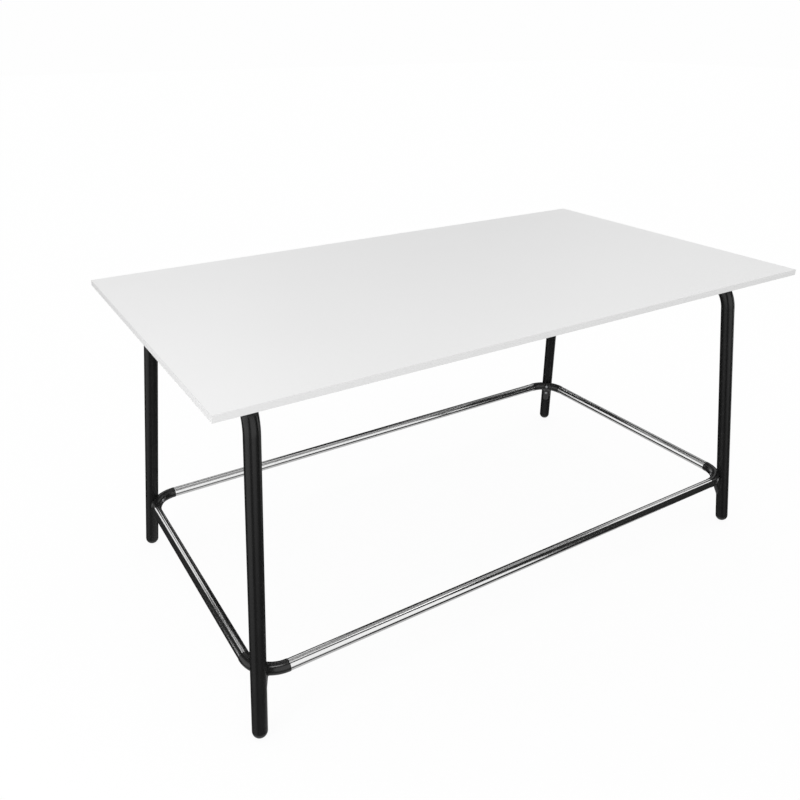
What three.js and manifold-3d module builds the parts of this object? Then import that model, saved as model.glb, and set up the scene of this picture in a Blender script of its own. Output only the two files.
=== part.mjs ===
// A standing-height meeting table: a white laminated top on two bent steel end frames, with a foot rail
// of polished tubes that moulded corner elbows hold against the inner side of the splayed legs.
// Millimetres, +Z up. X runs along the table, Y across it, and the origin is on the floor under its centre.

import * as THREE from 'three';
import { mergeVertices } from 'three/addons/utils/BufferGeometryUtils.js';
import Module from 'manifold-3d';

const wasm = await Module();
wasm.setup();

// Tabletop
const TOP_LENGTH = 1800;
const TOP_WIDTH = 1000;
const TABLE_HEIGHT = 900;
const CORE_THICKNESS = 15;
const LAMINATE_THICKNESS = 0.6;
const EDGE_BAND_THICKNESS = 2;

// End frames: one bent tube is two legs and the crossbar between them
const LEG_DIAMETER = 39;
const LEG_WALL = 2;
const LEG_SPLAY = THREE.MathUtils.degToRad(6);
const FOOT_INSET_END = 37;
const FOOT_INSET_SIDE = 39;
const FRAME_BEND_RADIUS = 100;

// Domed glides plugged into the feet
const GLIDE_FLAT_RADIUS = 6;
const GLIDE_SPIGOT_LENGTH = 25;

// Foot rail: tubes between corner elbows
const RAIL_HEIGHT_FROM_FLOOR = 172;
const BAR_DIAMETER = 30;
const BAR_WALL = 1.5;
const BAR_OUTSIDE_LEG_AXIS = 5.5;
const ELBOW_STEP = 0.7;
const ELBOW_BEND_RADIUS = 80;
const ELBOW_STRAIGHT = 1;
const ELBOW_SPIGOT_LENGTH = 30;
const ELBOW_SPIGOT_ROOT = 6;

// Round tail of each elbow, which slants down into the leg
const TAIL_DIAMETER = 29.5;
const TAIL_LEAN = THREE.MathUtils.degToRad(15.6);

// Screws through each elbow and its tail into the leg
const ELBOW_SCREW_DIAMETER = 6;
const ELBOW_SCREW_HEAD_DIAMETER = 11;
const ELBOW_SCREW_HEAD_HEIGHT = 3.3;
const ELBOW_SCREW_RISE = 4;
const ELBOW_SCREW_SPACING = 35;
const ELBOW_SCREW_REACH = 8;
const ELBOW_SEAT_DEPTH = 3;

// Saddle plates that seat the crossbars under the board
const SADDLE_THICKNESS = 8;
const SADDLE_WIDTH = 50;
const SADDLE_CROWN = 6;
const SADDLE_SCREW_FROM_TUBE = 16;
const SADDLE_EDGE = 12;
const SADDLE_TO_STIFFENER = 55;

// Stiffening rails along the underside of the board
const STIFFENER_HEIGHT = 40;
const STIFFENER_WIDTH = 20;
const STIFFENER_WALL = 2;
const STIFFENER_FROM_BEND = 40;
const STIFFENER_SCREW_FROM_END = 270;
const STIFFENER_ACCESS_DIAMETER = 12;
const END_BLOCK_LENGTH = 30;
const END_BLOCK_SETBACK = 3;

// Bolts through the crossbars into the end blocks
const RAIL_BOLT_DIAMETER = 8;
const RAIL_BOLT_HEAD_DIAMETER = 13;
const RAIL_BOLT_HEAD_HEIGHT = 5;
const RAIL_BOLT_BITE = 20;

// Wood screws into the board
const WOOD_SCREW_DIAMETER = 5;
const WOOD_SCREW_HEAD_DIAMETER = 9;
const WOOD_SCREW_HEAD_HEIGHT = 3;
const WOOD_SCREW_TIP = 4;
const BOARD_OVER_SCREW_TIP = 4;

// Clearance between fitted pieces
const FIT = 0.3;

// Facets
const TUBE_SIDES = 20;
const DOME_RINGS = 5;
const BEND_STEPS = 6;
const SCREW_SIDES = 10;
const MERGE_DISTANCE = 1e-4;

// Heights and radii that follow from the sizes above
const legRadius = LEG_DIAMETER / 2;
const legBore = legRadius - LEG_WALL;
const barRadius = BAR_DIAMETER / 2;
const elbowRadius = barRadius + ELBOW_STEP;
const elbowArm = ELBOW_BEND_RADIUS + ELBOW_STRAIGHT;
const coreTop = TABLE_HEIGHT - LAMINATE_THICKNESS;
const coreBottom = coreTop - CORE_THICKNESS;
const underside = coreBottom - LAMINATE_THICKNESS;
const crossbarHeight = underside - SADDLE_CROWN - FIT - legRadius;

// Leg axes: at the floor they stand footX and footY from the centre, and lean in by slope per unit of height
const slope = Math.tan(LEG_SPLAY);
const footX = TOP_LENGTH / 2 - FOOT_INSET_END;
const footY = TOP_WIDTH / 2 - FOOT_INSET_SIDE;
const legAxisAt = (height, sideX, sideY) =>
  new THREE.Vector3(sideX * (footX - height * slope), sideY * (footY - height * slope), height);
const crossbarX = footX - crossbarHeight * slope;

// Foot rail axes: a rectangle a little outside the leg axes
const railX = footX - RAIL_HEIGHT_FROM_FLOOR * slope + BAR_OUTSIDE_LEG_AXIS;
const railY = footY - RAIL_HEIGHT_FROM_FLOOR * slope + BAR_OUTSIDE_LEG_AXIS;

const finish = (color, roughness, metalness) => new THREE.MeshStandardMaterial({ color, roughness, metalness });
const LAMINATE_WHITE = () => finish(0xe9e9e9, 0.5, 0);
const BAND_WHITE = () => finish(0xe2e2e2, 0.45, 0);
const BOARD_BROWN = () => finish(0xb99b6f, 0.9, 0);
const COAT_BLACK = () => finish(0x1d1d1e, 0.42, 0.2);
const MOULDED_BLACK = () => finish(0x19191a, 0.35, 0);
const CHROME = () => finish(0xdcdcdc, 0.06, 1);
const ZINC = () => finish(0xa9abad, 0.35, 1);

const table = new THREE.Group();

function addPiece(parent, name, geometry, material) {
  const mesh = new THREE.Mesh(geometry, material);
  mesh.name = name;
  parent.add(mesh);
  return mesh;
}

// Closed geometry to solid, with shared corners merged and triangles of no area left out
function solidOf(geometry) {
  const bare = geometry.clone();
  bare.deleteAttribute('normal');
  bare.deleteAttribute('uv');
  const merged = mergeVertices(bare, MERGE_DISTANCE);
  const index = merged.index.array;
  const triVerts = [];
  for (let i = 0; i < index.length; i += 3) {
    const [a, b, c] = [index[i], index[i + 1], index[i + 2]];
    if (a !== b && b !== c && c !== a) triVerts.push(a, b, c);
  }
  const vertProperties = new Float32Array(merged.attributes.position.array);
  return new wasm.Manifold(new wasm.Mesh({ numProp: 3, vertProperties, triVerts: new Uint32Array(triVerts) }));
}

function geometryOf(solid) {
  const mesh = solid.getMesh();
  const geometry = new THREE.BufferGeometry();
  geometry.setAttribute('position', new THREE.BufferAttribute(mesh.vertProperties, 3));
  geometry.setIndex(new THREE.BufferAttribute(mesh.triVerts, 1));
  return geometry;
}

function cutFrom(geometry, cutters) {
  let solid = solidOf(geometry);
  for (const cutter of cutters) solid = solid.subtract(solidOf(cutter));
  return geometryOf(solid);
}

// A box given by two opposite corners, whose faces lie exactly on those corners' coordinates
function boxBetween(corner, opposite) {
  const { min, max } = new THREE.Box3().setFromPoints([corner, opposite]);
  const box = new THREE.BoxGeometry();
  const spot = box.attributes.position;
  const pick = (value, low, high) => (value < 0 ? low : high);
  for (let i = 0; i < spot.count; i += 1) {
    const x = pick(spot.getX(i), min.x, max.x);
    const y = pick(spot.getY(i), min.y, max.y);
    spot.setXYZ(i, x, y, pick(spot.getZ(i), min.z, max.z));
  }
  return box;
}

// A round bar from one point to another
function rodBetween(from, to, radius, sides) {
  const along = to.clone().sub(from);
  const rod = new THREE.CylinderGeometry(radius, radius, along.length(), sides);
  const upright = new THREE.Vector3(0, 1, 0);
  rod.applyQuaternion(new THREE.Quaternion().setFromUnitVectors(upright, along.clone().normalize()));
  const middle = from.clone().lerp(to, 0.5);
  return rod.translate(middle.x, middle.y, middle.z);
}

// A cutter that clears a round piece of the given radius: its flats, not its corners, stand off by the fit
function clearanceRod(from, to, radius, sides) {
  return rodBetween(from, to, (radius + FIT) / Math.cos(Math.PI / sides), sides);
}

// A turned piece on the Z axis, from its outline as [radius, height] pairs
function turned(outline, sides) {
  const points = outline.map(([radius, height]) => new THREE.Vector2(radius, height));
  return new THREE.LatheGeometry(points, sides).rotateX(Math.PI / 2);
}

function roundSection(radius, boreRadius) {
  const section = new THREE.Shape().absarc(0, 0, radius, 0, 2 * Math.PI);
  if (boreRadius) section.holes.push(new THREE.Path().absarc(0, 0, boreRadius, 0, 2 * Math.PI, true));
  return section;
}

// A route through corner points, each inner corner rounded to one radius, stepped only where it bends
class BentRoute extends THREE.Curve {
  constructor(corners, radius) {
    super();
    this.stations = [];
    const heading = (i) => corners[i + 1].clone().sub(corners[i]).normalize();
    const last = corners.length - 1;
    this.stations.push({ point: corners[0], tangent: heading(0) });
    for (let i = 1; i < last; i += 1) this.addBend(corners[i], heading(i - 1), heading(i), radius);
    this.stations.push({ point: corners[last], tangent: heading(last - 1) });
  }

  addBend(corner, into, out, radius) {
    const turn = into.angleTo(out);
    const start = corner.clone().addScaledVector(into, -radius * Math.tan(turn / 2));
    const inward = out.clone().addScaledVector(into, -out.dot(into)).normalize();
    for (let step = 0; step <= BEND_STEPS; step += 1) {
      const angle = (turn * step) / BEND_STEPS;
      const point = start.clone().addScaledVector(into, radius * Math.sin(angle));
      point.addScaledVector(inward, radius * (1 - Math.cos(angle)));
      const tangent = into.clone().multiplyScalar(Math.cos(angle)).addScaledVector(inward, Math.sin(angle));
      this.stations.push({ point, tangent });
    }
  }

  get steps() {
    return this.stations.length - 1;
  }

  getPointAt(u, target = new THREE.Vector3()) {
    return target.copy(this.stations[Math.round(u * this.steps)].point);
  }

  getTangentAt(u, target = new THREE.Vector3()) {
    return target.copy(this.stations[Math.round(u * this.steps)].tangent);
  }
}

function sweep(route, radius, boreRadius) {
  const section = roundSection(radius, boreRadius);
  return new THREE.ExtrudeGeometry(section, {
    steps: route.steps,
    extrudePath: route,
    curveSegments: TUBE_SIDES / 2,
  });
}

// A screw on the Z axis: the head's underside at zero, the head above it, the shank below
function screwGeometry(diameter, headDiameter, headHeight, shankLength, tipLength) {
  const shank = diameter / 2;
  const crown = (headDiameter - headHeight) / 2;
  return turned([
    [0, -shankLength],
    [shank, tipLength - shankLength],
    [shank, 0],
    [headDiameter / 2, 0],
    [crown, headHeight],
    [0, headHeight],
  ], SCREW_SIDES);
}

// Corner frame of the foot rail. Its origin is where two bar axes would cross, and its arms run along
// +X and +Y. The four corners are the same corner turned by quarter turns.
const CORNERS = [
  { name: 'front_left', sideX: -1, sideY: -1, quarterTurns: 0 },
  { name: 'front_right', sideX: 1, sideY: -1, quarterTurns: 1 },
  { name: 'back_right', sideX: 1, sideY: 1, quarterTurns: 2 },
  { name: 'back_left', sideX: -1, sideY: 1, quarterTurns: 3 },
];

function cornerMatrix({ sideX, sideY, quarterTurns }) {
  const turn = new THREE.Matrix4().makeRotationZ((quarterTurns * Math.PI) / 2);
  return turn.setPosition(sideX * railX, sideY * railY, RAIL_HEIGHT_FROM_FLOOR);
}

// Leg frame inside a corner: X points out of the leg towards the table's middle, square to its axis,
// and Z runs up the leg from the height of the bars
const legUp = new THREE.Vector3(slope, slope, 1).normalize();
const legSide = new THREE.Vector3(-1, 1, 0).normalize();
const legOut = legSide.clone().cross(legUp);
const legInCorner = new THREE.Matrix4()
  .makeBasis(legOut, legSide, legUp)
  .setPosition(BAR_OUTSIDE_LEG_AXIS, BAR_OUTSIDE_LEG_AXIS, 0);

// Middle of the elbow's bend in the leg's frame. The tail runs from there to the leg's axis.
const bendMiddle = ELBOW_BEND_RADIUS * (1 - Math.SQRT1_2) - BAR_OUTSIDE_LEG_AXIS;
const bendMiddleOut = bendMiddle * (legOut.x + legOut.y);
const bendMiddleUp = bendMiddle * (legUp.x + legUp.y);
const tailTop = new THREE.Vector3(bendMiddleOut, 0, bendMiddleUp);
const tailEnd = new THREE.Vector3(0, 0, bendMiddleUp - bendMiddleOut / Math.tan(TAIL_LEAN));

// Screw heads sit in flat recesses, one in the bend and one in the tail's sloping face
const upperScrewAlong = bendMiddleUp + ELBOW_SCREW_RISE;
const lowerScrewAlong = upperScrewAlong - ELBOW_SCREW_SPACING;
const bendFace = bendMiddleOut + elbowRadius;
const tailDrop = (bendMiddleUp - lowerScrewAlong) * Math.tan(TAIL_LEAN);
const tailFace = bendMiddleOut + TAIL_DIAMETER / 2 / Math.cos(TAIL_LEAN) - tailDrop;
const ELBOW_SCREWS = [
  { name: 'upper', seat: bendFace - ELBOW_SEAT_DEPTH, along: upperScrewAlong },
  { name: 'lower', seat: tailFace - ELBOW_SEAT_DEPTH, along: lowerScrewAlong },
];
const screwEnd = legRadius - ELBOW_SCREW_REACH;

function elbowScrewHole(screw) {
  const from = new THREE.Vector3(screwEnd - FIT, 0, screw.along);
  const to = new THREE.Vector3(screw.seat + FIT, 0, screw.along);
  return clearanceRod(from, to, ELBOW_SCREW_DIAMETER / 2, SCREW_SIDES);
}

function elbowScrewSeat(screw) {
  const from = new THREE.Vector3(screw.seat, 0, screw.along);
  const to = new THREE.Vector3(screw.seat + elbowRadius, 0, screw.along);
  return clearanceRod(from, to, ELBOW_SCREW_HEAD_DIAMETER / 2, SCREW_SIDES);
}

// A moulded elbow: the bent body, a spigot in each arm for the bars, and the tail, saddled round the leg
function elbowGeometry() {
  const armX = new THREE.Vector3(elbowArm, 0, 0);
  const armY = new THREE.Vector3(0, elbowArm, 0);
  let solid = solidOf(sweep(new BentRoute([armX, new THREE.Vector3(), armY], ELBOW_BEND_RADIUS), elbowRadius));
  for (const arm of [armX, armY]) {
    const heading = arm.clone().normalize();
    const root = arm.clone().addScaledVector(heading, -ELBOW_SPIGOT_ROOT);
    const tip = arm.clone().addScaledVector(heading, ELBOW_SPIGOT_LENGTH);
    solid = solid.add(solidOf(rodBetween(root, tip, barRadius - BAR_WALL - FIT, TUBE_SIDES)));
  }
  const onLeg = (geometry) => solidOf(geometry.applyMatrix4(legInCorner));
  solid = solid.add(onLeg(rodBetween(tailTop, tailEnd, TAIL_DIAMETER / 2, TUBE_SIDES)));
  const legFrom = tailEnd.clone().setZ(tailEnd.z - LEG_DIAMETER);
  const legTo = tailEnd.clone().setZ(elbowArm);
  solid = solid.subtract(onLeg(clearanceRod(legFrom, legTo, legRadius, TUBE_SIDES)));
  for (const screw of ELBOW_SCREWS) {
    solid = solid.subtract(onLeg(elbowScrewHole(screw)));
    solid = solid.subtract(onLeg(elbowScrewSeat(screw)));
  }
  return geometryOf(solid);
}

function addElbows() {
  for (const corner of CORNERS) {
    const group = new THREE.Group();
    group.applyMatrix4(cornerMatrix(corner));
    table.add(group);
    addPiece(group, `elbow_${corner.name}`, elbowGeometry(), MOULDED_BLACK());
    const leg = new THREE.Group();
    leg.applyMatrix4(legInCorner);
    group.add(leg);
    for (const screw of ELBOW_SCREWS) {
      const geometry = screwGeometry(
        ELBOW_SCREW_DIAMETER, ELBOW_SCREW_HEAD_DIAMETER, ELBOW_SCREW_HEAD_HEIGHT, screw.seat - screwEnd, 0);
      const mesh = addPiece(leg, `elbow_screw_${screw.name}_${corner.name}`, geometry, ZINC());
      mesh.position.set(screw.seat + FIT, 0, screw.along);
      mesh.rotation.y = Math.PI / 2;
    }
  }
}

// Foot rail tubes run from shoulder to shoulder of the elbows
function addFootRail() {
  const bar = (name, length, place) => {
    const section = roundSection(barRadius, barRadius - BAR_WALL);
    const tube = new THREE.ExtrudeGeometry(section, {
      depth: length,
      bevelEnabled: false,
      curveSegments: TUBE_SIDES / 2,
    });
    tube.translate(0, 0, -length / 2);
    const mesh = addPiece(table, `foot_rail_${name}`, tube, CHROME());
    place(mesh);
  };
  const shoulder = elbowArm + FIT;
  for (const [name, side] of [['front', -1], ['back', 1]]) {
    bar(name, 2 * (railX - shoulder), (mesh) => {
      mesh.rotation.y = Math.PI / 2;
      mesh.position.set(0, side * railY, RAIL_HEIGHT_FROM_FLOOR);
    });
  }
  for (const [name, side] of [['left', -1], ['right', 1]]) {
    bar(name, 2 * (railY - shoulder), (mesh) => {
      mesh.rotation.x = Math.PI / 2;
      mesh.position.set(side * railX, 0, RAIL_HEIGHT_FROM_FLOOR);
    });
  }
}

// Glides: a dome as wide as the leg, cut flat where it meets the floor, on a spigot inside the tube
const domeHeight = Math.sqrt(legRadius ** 2 - GLIDE_FLAT_RADIUS ** 2);

function glideGeometry(sideX, sideY) {
  const spigot = legBore - FIT;
  const outline = [];
  for (let ring = 0; ring <= DOME_RINGS; ring += 1) {
    const angle = (Math.PI / 2) * (ring / DOME_RINGS);
    outline.push([legRadius * Math.sin(angle), -legRadius * Math.cos(angle)]);
  }
  outline[0][0] = 0;
  outline.push([spigot, 0], [spigot, GLIDE_SPIGOT_LENGTH], [0, GLIDE_SPIGOT_LENGTH]);
  const centre = legAxisAt(domeHeight, sideX, sideY);
  const up = legAxisAt(TABLE_HEIGHT, sideX, sideY).sub(centre).normalize();
  const dome = turned(outline, TUBE_SIDES);
  dome.applyQuaternion(new THREE.Quaternion().setFromUnitVectors(new THREE.Vector3(0, 0, 1), up));
  dome.translate(centre.x, centre.y, centre.z);
  const reach = new THREE.Vector3(LEG_DIAMETER, LEG_DIAMETER, 0);
  const below = new THREE.Vector3(centre.x, centre.y, 0);
  const floor = boxBetween(below.clone().sub(reach).setZ(-LEG_DIAMETER), below.clone().add(reach));
  return cutFrom(dome, [floor]);
}

function addGlides() {
  for (const { name, sideX, sideY } of CORNERS) {
    addPiece(table, `glide_${name}`, glideGeometry(sideX, sideY), MOULDED_BLACK());
  }
}

// Route of one end frame: up one leg, across under the board and down the other leg
function frameRoute(sideX) {
  const tubeEnd = (sideY) => {
    const centre = legAxisAt(domeHeight, sideX, sideY);
    const up = legAxisAt(TABLE_HEIGHT, sideX, sideY).sub(centre).normalize();
    return centre.addScaledVector(up, FIT);
  };
  const corners = [
    tubeEnd(-1),
    legAxisAt(crossbarHeight, sideX, -1),
    legAxisAt(crossbarHeight, sideX, 1),
    tubeEnd(1),
  ];
  return new BentRoute(corners, FRAME_BEND_RADIUS);
}

// Half of the crossbar's straight run, which the stiffeners and saddle plates share
const crossbarHalf = Math.abs(frameRoute(1).stations[BEND_STEPS + 1].point.y);
const stiffenerY = crossbarHalf - STIFFENER_FROM_BEND;
const saddleY = stiffenerY - STIFFENER_WIDTH / 2 - SADDLE_TO_STIFFENER - SADDLE_WIDTH / 2;
const ACROSS = [['front', -1], ['back', 1]];
const ENDS = [['left', -1], ['right', 1]];

// Bolts lie along X at the crossbar's height, heads on the outer side of the tube
const boltHeadSeat = crossbarX + legRadius + FIT;
const blockOuter = crossbarX - legRadius - END_BLOCK_SETBACK;
const boltTip = blockOuter - RAIL_BOLT_BITE;

function boltHole(sideX, sideY) {
  const at = (x) => new THREE.Vector3(sideX * x, sideY * stiffenerY, crossbarHeight);
  return clearanceRod(at(boltTip - FIT), at(boltHeadSeat + FIT), RAIL_BOLT_DIAMETER / 2, SCREW_SIDES);
}

function addFrames() {
  for (const [name, sideX] of ENDS) {
    const holes = [];
    for (const corner of CORNERS.filter((each) => each.sideX === sideX)) {
      const legMatrix = cornerMatrix(corner).multiply(legInCorner);
      for (const screw of ELBOW_SCREWS) holes.push(elbowScrewHole(screw).applyMatrix4(legMatrix));
    }
    for (const [, sideY] of ACROSS) holes.push(boltHole(sideX, sideY));
    const tube = sweep(frameRoute(sideX), legRadius, legBore);
    addPiece(table, `leg_frame_${name}`, cutFrom(tube, holes), COAT_BLACK());
  }
}

// Wood screws stand upright in the board, their heads below it
const boardScrewTip = coreTop - BOARD_OVER_SCREW_TIP;

function woodScrewHole({ x, y }, from) {
  const low = new THREE.Vector3(x, y, from);
  const high = new THREE.Vector3(x, y, boardScrewTip + FIT);
  return clearanceRod(low, high, WOOD_SCREW_DIAMETER / 2, SCREW_SIDES);
}

const saddleScrewOffset = legRadius + SADDLE_SCREW_FROM_TUBE;
const saddleScrewSeat = underside - SADDLE_THICKNESS;
const SADDLE_SCREWS = [];
for (const [endName, sideX] of ENDS) {
  for (const [acrossName, sideY] of ACROSS) {
    for (const [part, step] of [['inner', -1], ['outer', 1]]) {
      SADDLE_SCREWS.push({
        name: `saddle_screw_${part}_${acrossName}_${endName}`,
        plate: `${acrossName}_${endName}`,
        x: sideX * (crossbarX + step * saddleScrewOffset),
        y: sideY * saddleY,
        seat: saddleScrewSeat,
      });
    }
  }
}

const stiffenerScrewX = crossbarX - STIFFENER_SCREW_FROM_END;
const STIFFENER_SCREWS = [];
for (const [acrossName, sideY] of ACROSS) {
  for (const [place, step] of [['left', -1], ['middle', 0], ['right', 1]]) {
    STIFFENER_SCREWS.push({
      name: `stiffener_screw_${acrossName}_${place}`,
      rail: acrossName,
      x: step * stiffenerScrewX,
      y: sideY * stiffenerY,
      seat: underside - STIFFENER_WALL,
    });
  }
}
const BOARD_SCREWS = [...SADDLE_SCREWS, ...STIFFENER_SCREWS];

function addWoodScrews() {
  for (const screw of BOARD_SCREWS) {
    const shank = boardScrewTip - screw.seat;
    const geometry = screwGeometry(
      WOOD_SCREW_DIAMETER, WOOD_SCREW_HEAD_DIAMETER, WOOD_SCREW_HEAD_HEIGHT, shank, WOOD_SCREW_TIP);
    const mesh = addPiece(table, screw.name, geometry, ZINC());
    mesh.position.set(screw.x, screw.y, screw.seat);
    mesh.rotation.x = Math.PI;
  }
}

// Saddle plates: flat on the board, grooved below for the crossbar
function addSaddles() {
  const half = saddleScrewOffset + SADDLE_EDGE;
  for (const [endName, sideX] of ENDS) {
    for (const [acrossName, sideY] of ACROSS) {
      const centre = new THREE.Vector3(sideX * crossbarX, sideY * saddleY, underside);
      const plate = boxBetween(
        centre.clone().add(new THREE.Vector3(-half, -SADDLE_WIDTH / 2, -SADDLE_THICKNESS)),
        centre.clone().add(new THREE.Vector3(half, SADDLE_WIDTH / 2, 0)));
      const tubeFrom = new THREE.Vector3(centre.x, centre.y - SADDLE_WIDTH, crossbarHeight);
      const tubeTo = new THREE.Vector3(centre.x, centre.y + SADDLE_WIDTH, crossbarHeight);
      const cutters = [clearanceRod(tubeFrom, tubeTo, legRadius, TUBE_SIDES)];
      for (const screw of SADDLE_SCREWS) {
        if (screw.plate === `${acrossName}_${endName}`) cutters.push(woodScrewHole(screw, crossbarHeight));
      }
      addPiece(table, `saddle_plate_${acrossName}_${endName}`, cutFrom(plate, cutters), COAT_BLACK());
    }
  }
}

// Stiffening rails: rectangular tubes under the board, coped round the crossbars at both ends
function stiffenerGeometry(rail, sideY) {
  const low = underside - STIFFENER_HEIGHT;
  const y = sideY * stiffenerY;
  const shell = boxBetween(
    new THREE.Vector3(-crossbarX, y - STIFFENER_WIDTH / 2, low),
    new THREE.Vector3(crossbarX, y + STIFFENER_WIDTH / 2, underside));
  const wall = STIFFENER_WALL;
  const bore = boxBetween(
    new THREE.Vector3(-TOP_LENGTH, y - STIFFENER_WIDTH / 2 + wall, low + wall),
    new THREE.Vector3(TOP_LENGTH, y + STIFFENER_WIDTH / 2 - wall, underside - wall));
  const cutters = [bore];
  for (const [, sideX] of ENDS) {
    const from = new THREE.Vector3(sideX * crossbarX, y - STIFFENER_WIDTH, crossbarHeight);
    const to = new THREE.Vector3(sideX * crossbarX, y + STIFFENER_WIDTH, crossbarHeight);
    cutters.push(clearanceRod(from, to, legRadius, TUBE_SIDES));
  }
  for (const screw of STIFFENER_SCREWS.filter((each) => each.rail === rail)) {
    cutters.push(woodScrewHole(screw, crossbarHeight));
    const access = [low - wall, low + 2 * wall].map((z) => new THREE.Vector3(screw.x, screw.y, z));
    cutters.push(rodBetween(access[0], access[1], STIFFENER_ACCESS_DIAMETER / 2, SCREW_SIDES));
  }
  return cutFrom(shell, cutters);
}

function addStiffeners() {
  for (const [acrossName, sideY] of ACROSS) {
    addPiece(table, `stiffener_${acrossName}`, stiffenerGeometry(acrossName, sideY), COAT_BLACK());
    for (const [endName, sideX] of ENDS) {
      const inset = STIFFENER_WALL + FIT;
      const y = sideY * stiffenerY;
      const halfWidth = STIFFENER_WIDTH / 2 - inset;
      const block = boxBetween(
        new THREE.Vector3(sideX * (blockOuter - END_BLOCK_LENGTH), y - halfWidth, underside - inset),
        new THREE.Vector3(sideX * blockOuter, y + halfWidth, underside - STIFFENER_HEIGHT + inset));
      const name = `${acrossName}_${endName}`;
      addPiece(table, `end_block_${name}`, cutFrom(block, [boltHole(sideX, sideY)]), ZINC());
      const geometry = screwGeometry(
        RAIL_BOLT_DIAMETER, RAIL_BOLT_HEAD_DIAMETER, RAIL_BOLT_HEAD_HEIGHT, boltHeadSeat - boltTip, 0);
      const bolt = addPiece(table, `rail_bolt_${name}`, geometry, ZINC());
      bolt.position.set(sideX * boltHeadSeat, y, crossbarHeight);
      bolt.rotation.y = (sideX * Math.PI) / 2;
    }
  }
}

// Tabletop: core, a laminate above, a balancing laminate below, and a band on each edge
function addTabletop() {
  const halfX = TOP_LENGTH / 2 - EDGE_BAND_THICKNESS;
  const halfY = TOP_WIDTH / 2 - EDGE_BAND_THICKNESS;
  const sheet = (low, high) => boxBetween(
    new THREE.Vector3(-halfX, -halfY, low), new THREE.Vector3(halfX, halfY, high));
  const pilotHoles = BOARD_SCREWS.map((screw) => woodScrewHole(screw, crossbarHeight));
  addPiece(table, 'tabletop_core', cutFrom(sheet(coreBottom, coreTop), pilotHoles), BOARD_BROWN());
  addPiece(table, 'tabletop_laminate', sheet(coreTop, TABLE_HEIGHT), LAMINATE_WHITE());
  addPiece(table, 'tabletop_backing', cutFrom(sheet(underside, coreBottom), pilotHoles), LAMINATE_WHITE());
  for (const [name, side] of ACROSS) {
    const band = boxBetween(
      new THREE.Vector3(-TOP_LENGTH / 2, side * halfY, underside),
      new THREE.Vector3(TOP_LENGTH / 2, (side * TOP_WIDTH) / 2, TABLE_HEIGHT));
    addPiece(table, `edge_band_${name}`, band, BAND_WHITE());
  }
  for (const [name, side] of ENDS) {
    const band = boxBetween(
      new THREE.Vector3(side * halfX, -halfY, underside),
      new THREE.Vector3((side * TOP_LENGTH) / 2, halfY, TABLE_HEIGHT));
    addPiece(table, `edge_band_${name}`, band, BAND_WHITE());
  }
}

addTabletop();
addFrames();
addGlides();
addElbows();
addFootRail();
addSaddles();
addStiffeners();
addWoodScrews();

export default table;
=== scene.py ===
# %% [markdown]
# # A standing meeting table
#
# This lesson dresses the solid model of a standing-height meeting table: a thin white top on two
# bent black tubes, with a polished foot rail that four moulded elbows hold to the legs. The solids
# say where every piece is and how big it is. Each step below makes one kind of piece finer than its
# solid and puts it in the same place, so nothing has to be fitted by eye.

# %% Load the solid model
import math
from contextlib import contextmanager

import bmesh
import bpy
from mathutils import Matrix, Vector


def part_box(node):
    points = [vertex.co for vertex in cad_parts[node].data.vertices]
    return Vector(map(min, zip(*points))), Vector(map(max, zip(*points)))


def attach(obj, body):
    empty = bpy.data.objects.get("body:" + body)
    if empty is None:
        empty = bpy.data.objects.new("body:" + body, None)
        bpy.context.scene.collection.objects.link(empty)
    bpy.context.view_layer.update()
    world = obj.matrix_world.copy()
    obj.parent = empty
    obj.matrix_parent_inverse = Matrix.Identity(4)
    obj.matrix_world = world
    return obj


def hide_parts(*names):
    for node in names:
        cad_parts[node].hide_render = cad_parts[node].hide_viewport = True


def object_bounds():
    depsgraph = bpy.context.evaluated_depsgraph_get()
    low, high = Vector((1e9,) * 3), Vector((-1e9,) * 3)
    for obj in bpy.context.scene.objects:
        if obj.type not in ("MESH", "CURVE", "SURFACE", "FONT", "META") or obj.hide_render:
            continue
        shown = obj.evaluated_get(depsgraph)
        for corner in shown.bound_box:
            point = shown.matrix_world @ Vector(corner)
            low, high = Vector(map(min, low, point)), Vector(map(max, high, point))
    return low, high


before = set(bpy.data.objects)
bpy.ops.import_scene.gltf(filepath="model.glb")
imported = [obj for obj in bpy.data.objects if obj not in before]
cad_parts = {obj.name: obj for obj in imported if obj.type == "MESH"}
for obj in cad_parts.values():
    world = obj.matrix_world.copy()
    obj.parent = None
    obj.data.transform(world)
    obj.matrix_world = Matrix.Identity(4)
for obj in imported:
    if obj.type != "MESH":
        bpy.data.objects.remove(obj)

solid_low, solid_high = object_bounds()
print(f"{len(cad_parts)} solids, {solid_high - solid_low} m")

# %% [markdown]
# ## Camera
#
# The camera stands in front of the left end, above the top, and looks down across it. Its place and
# lens were worked out from the table's own corners and feet, so the picture has the same
# perspective. Yaw is the turn to the right of straight back, and pitch is the angle below the
# horizon.

# %% Camera
CAMERA_PLACE = (-1.27385, -1.75993, 1.55025)
CAMERA_YAW = 0.5583
CAMERA_PITCH = 0.4531
CAMERA_LENS = 34.565

camera_turn = (math.pi / 2 - CAMERA_PITCH, 0, -CAMERA_YAW)
bpy.ops.object.camera_add(location=CAMERA_PLACE, rotation=camera_turn)
camera = bpy.context.object
camera.data.lens = CAMERA_LENS
bpy.context.scene.camera = camera
print("camera at", tuple(camera.location), "lens", camera.data.lens)

# %% [markdown]
# ## Writing a shader as sums
#
# A material is a tree of nodes. Adding each Math node by hand hides what is being worked out, so a
# Wire stands for one socket, and adding or multiplying wires adds the Math nodes. Every other node
# comes from one method, node(), which takes its type, its settings and what goes into its sockets.

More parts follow.
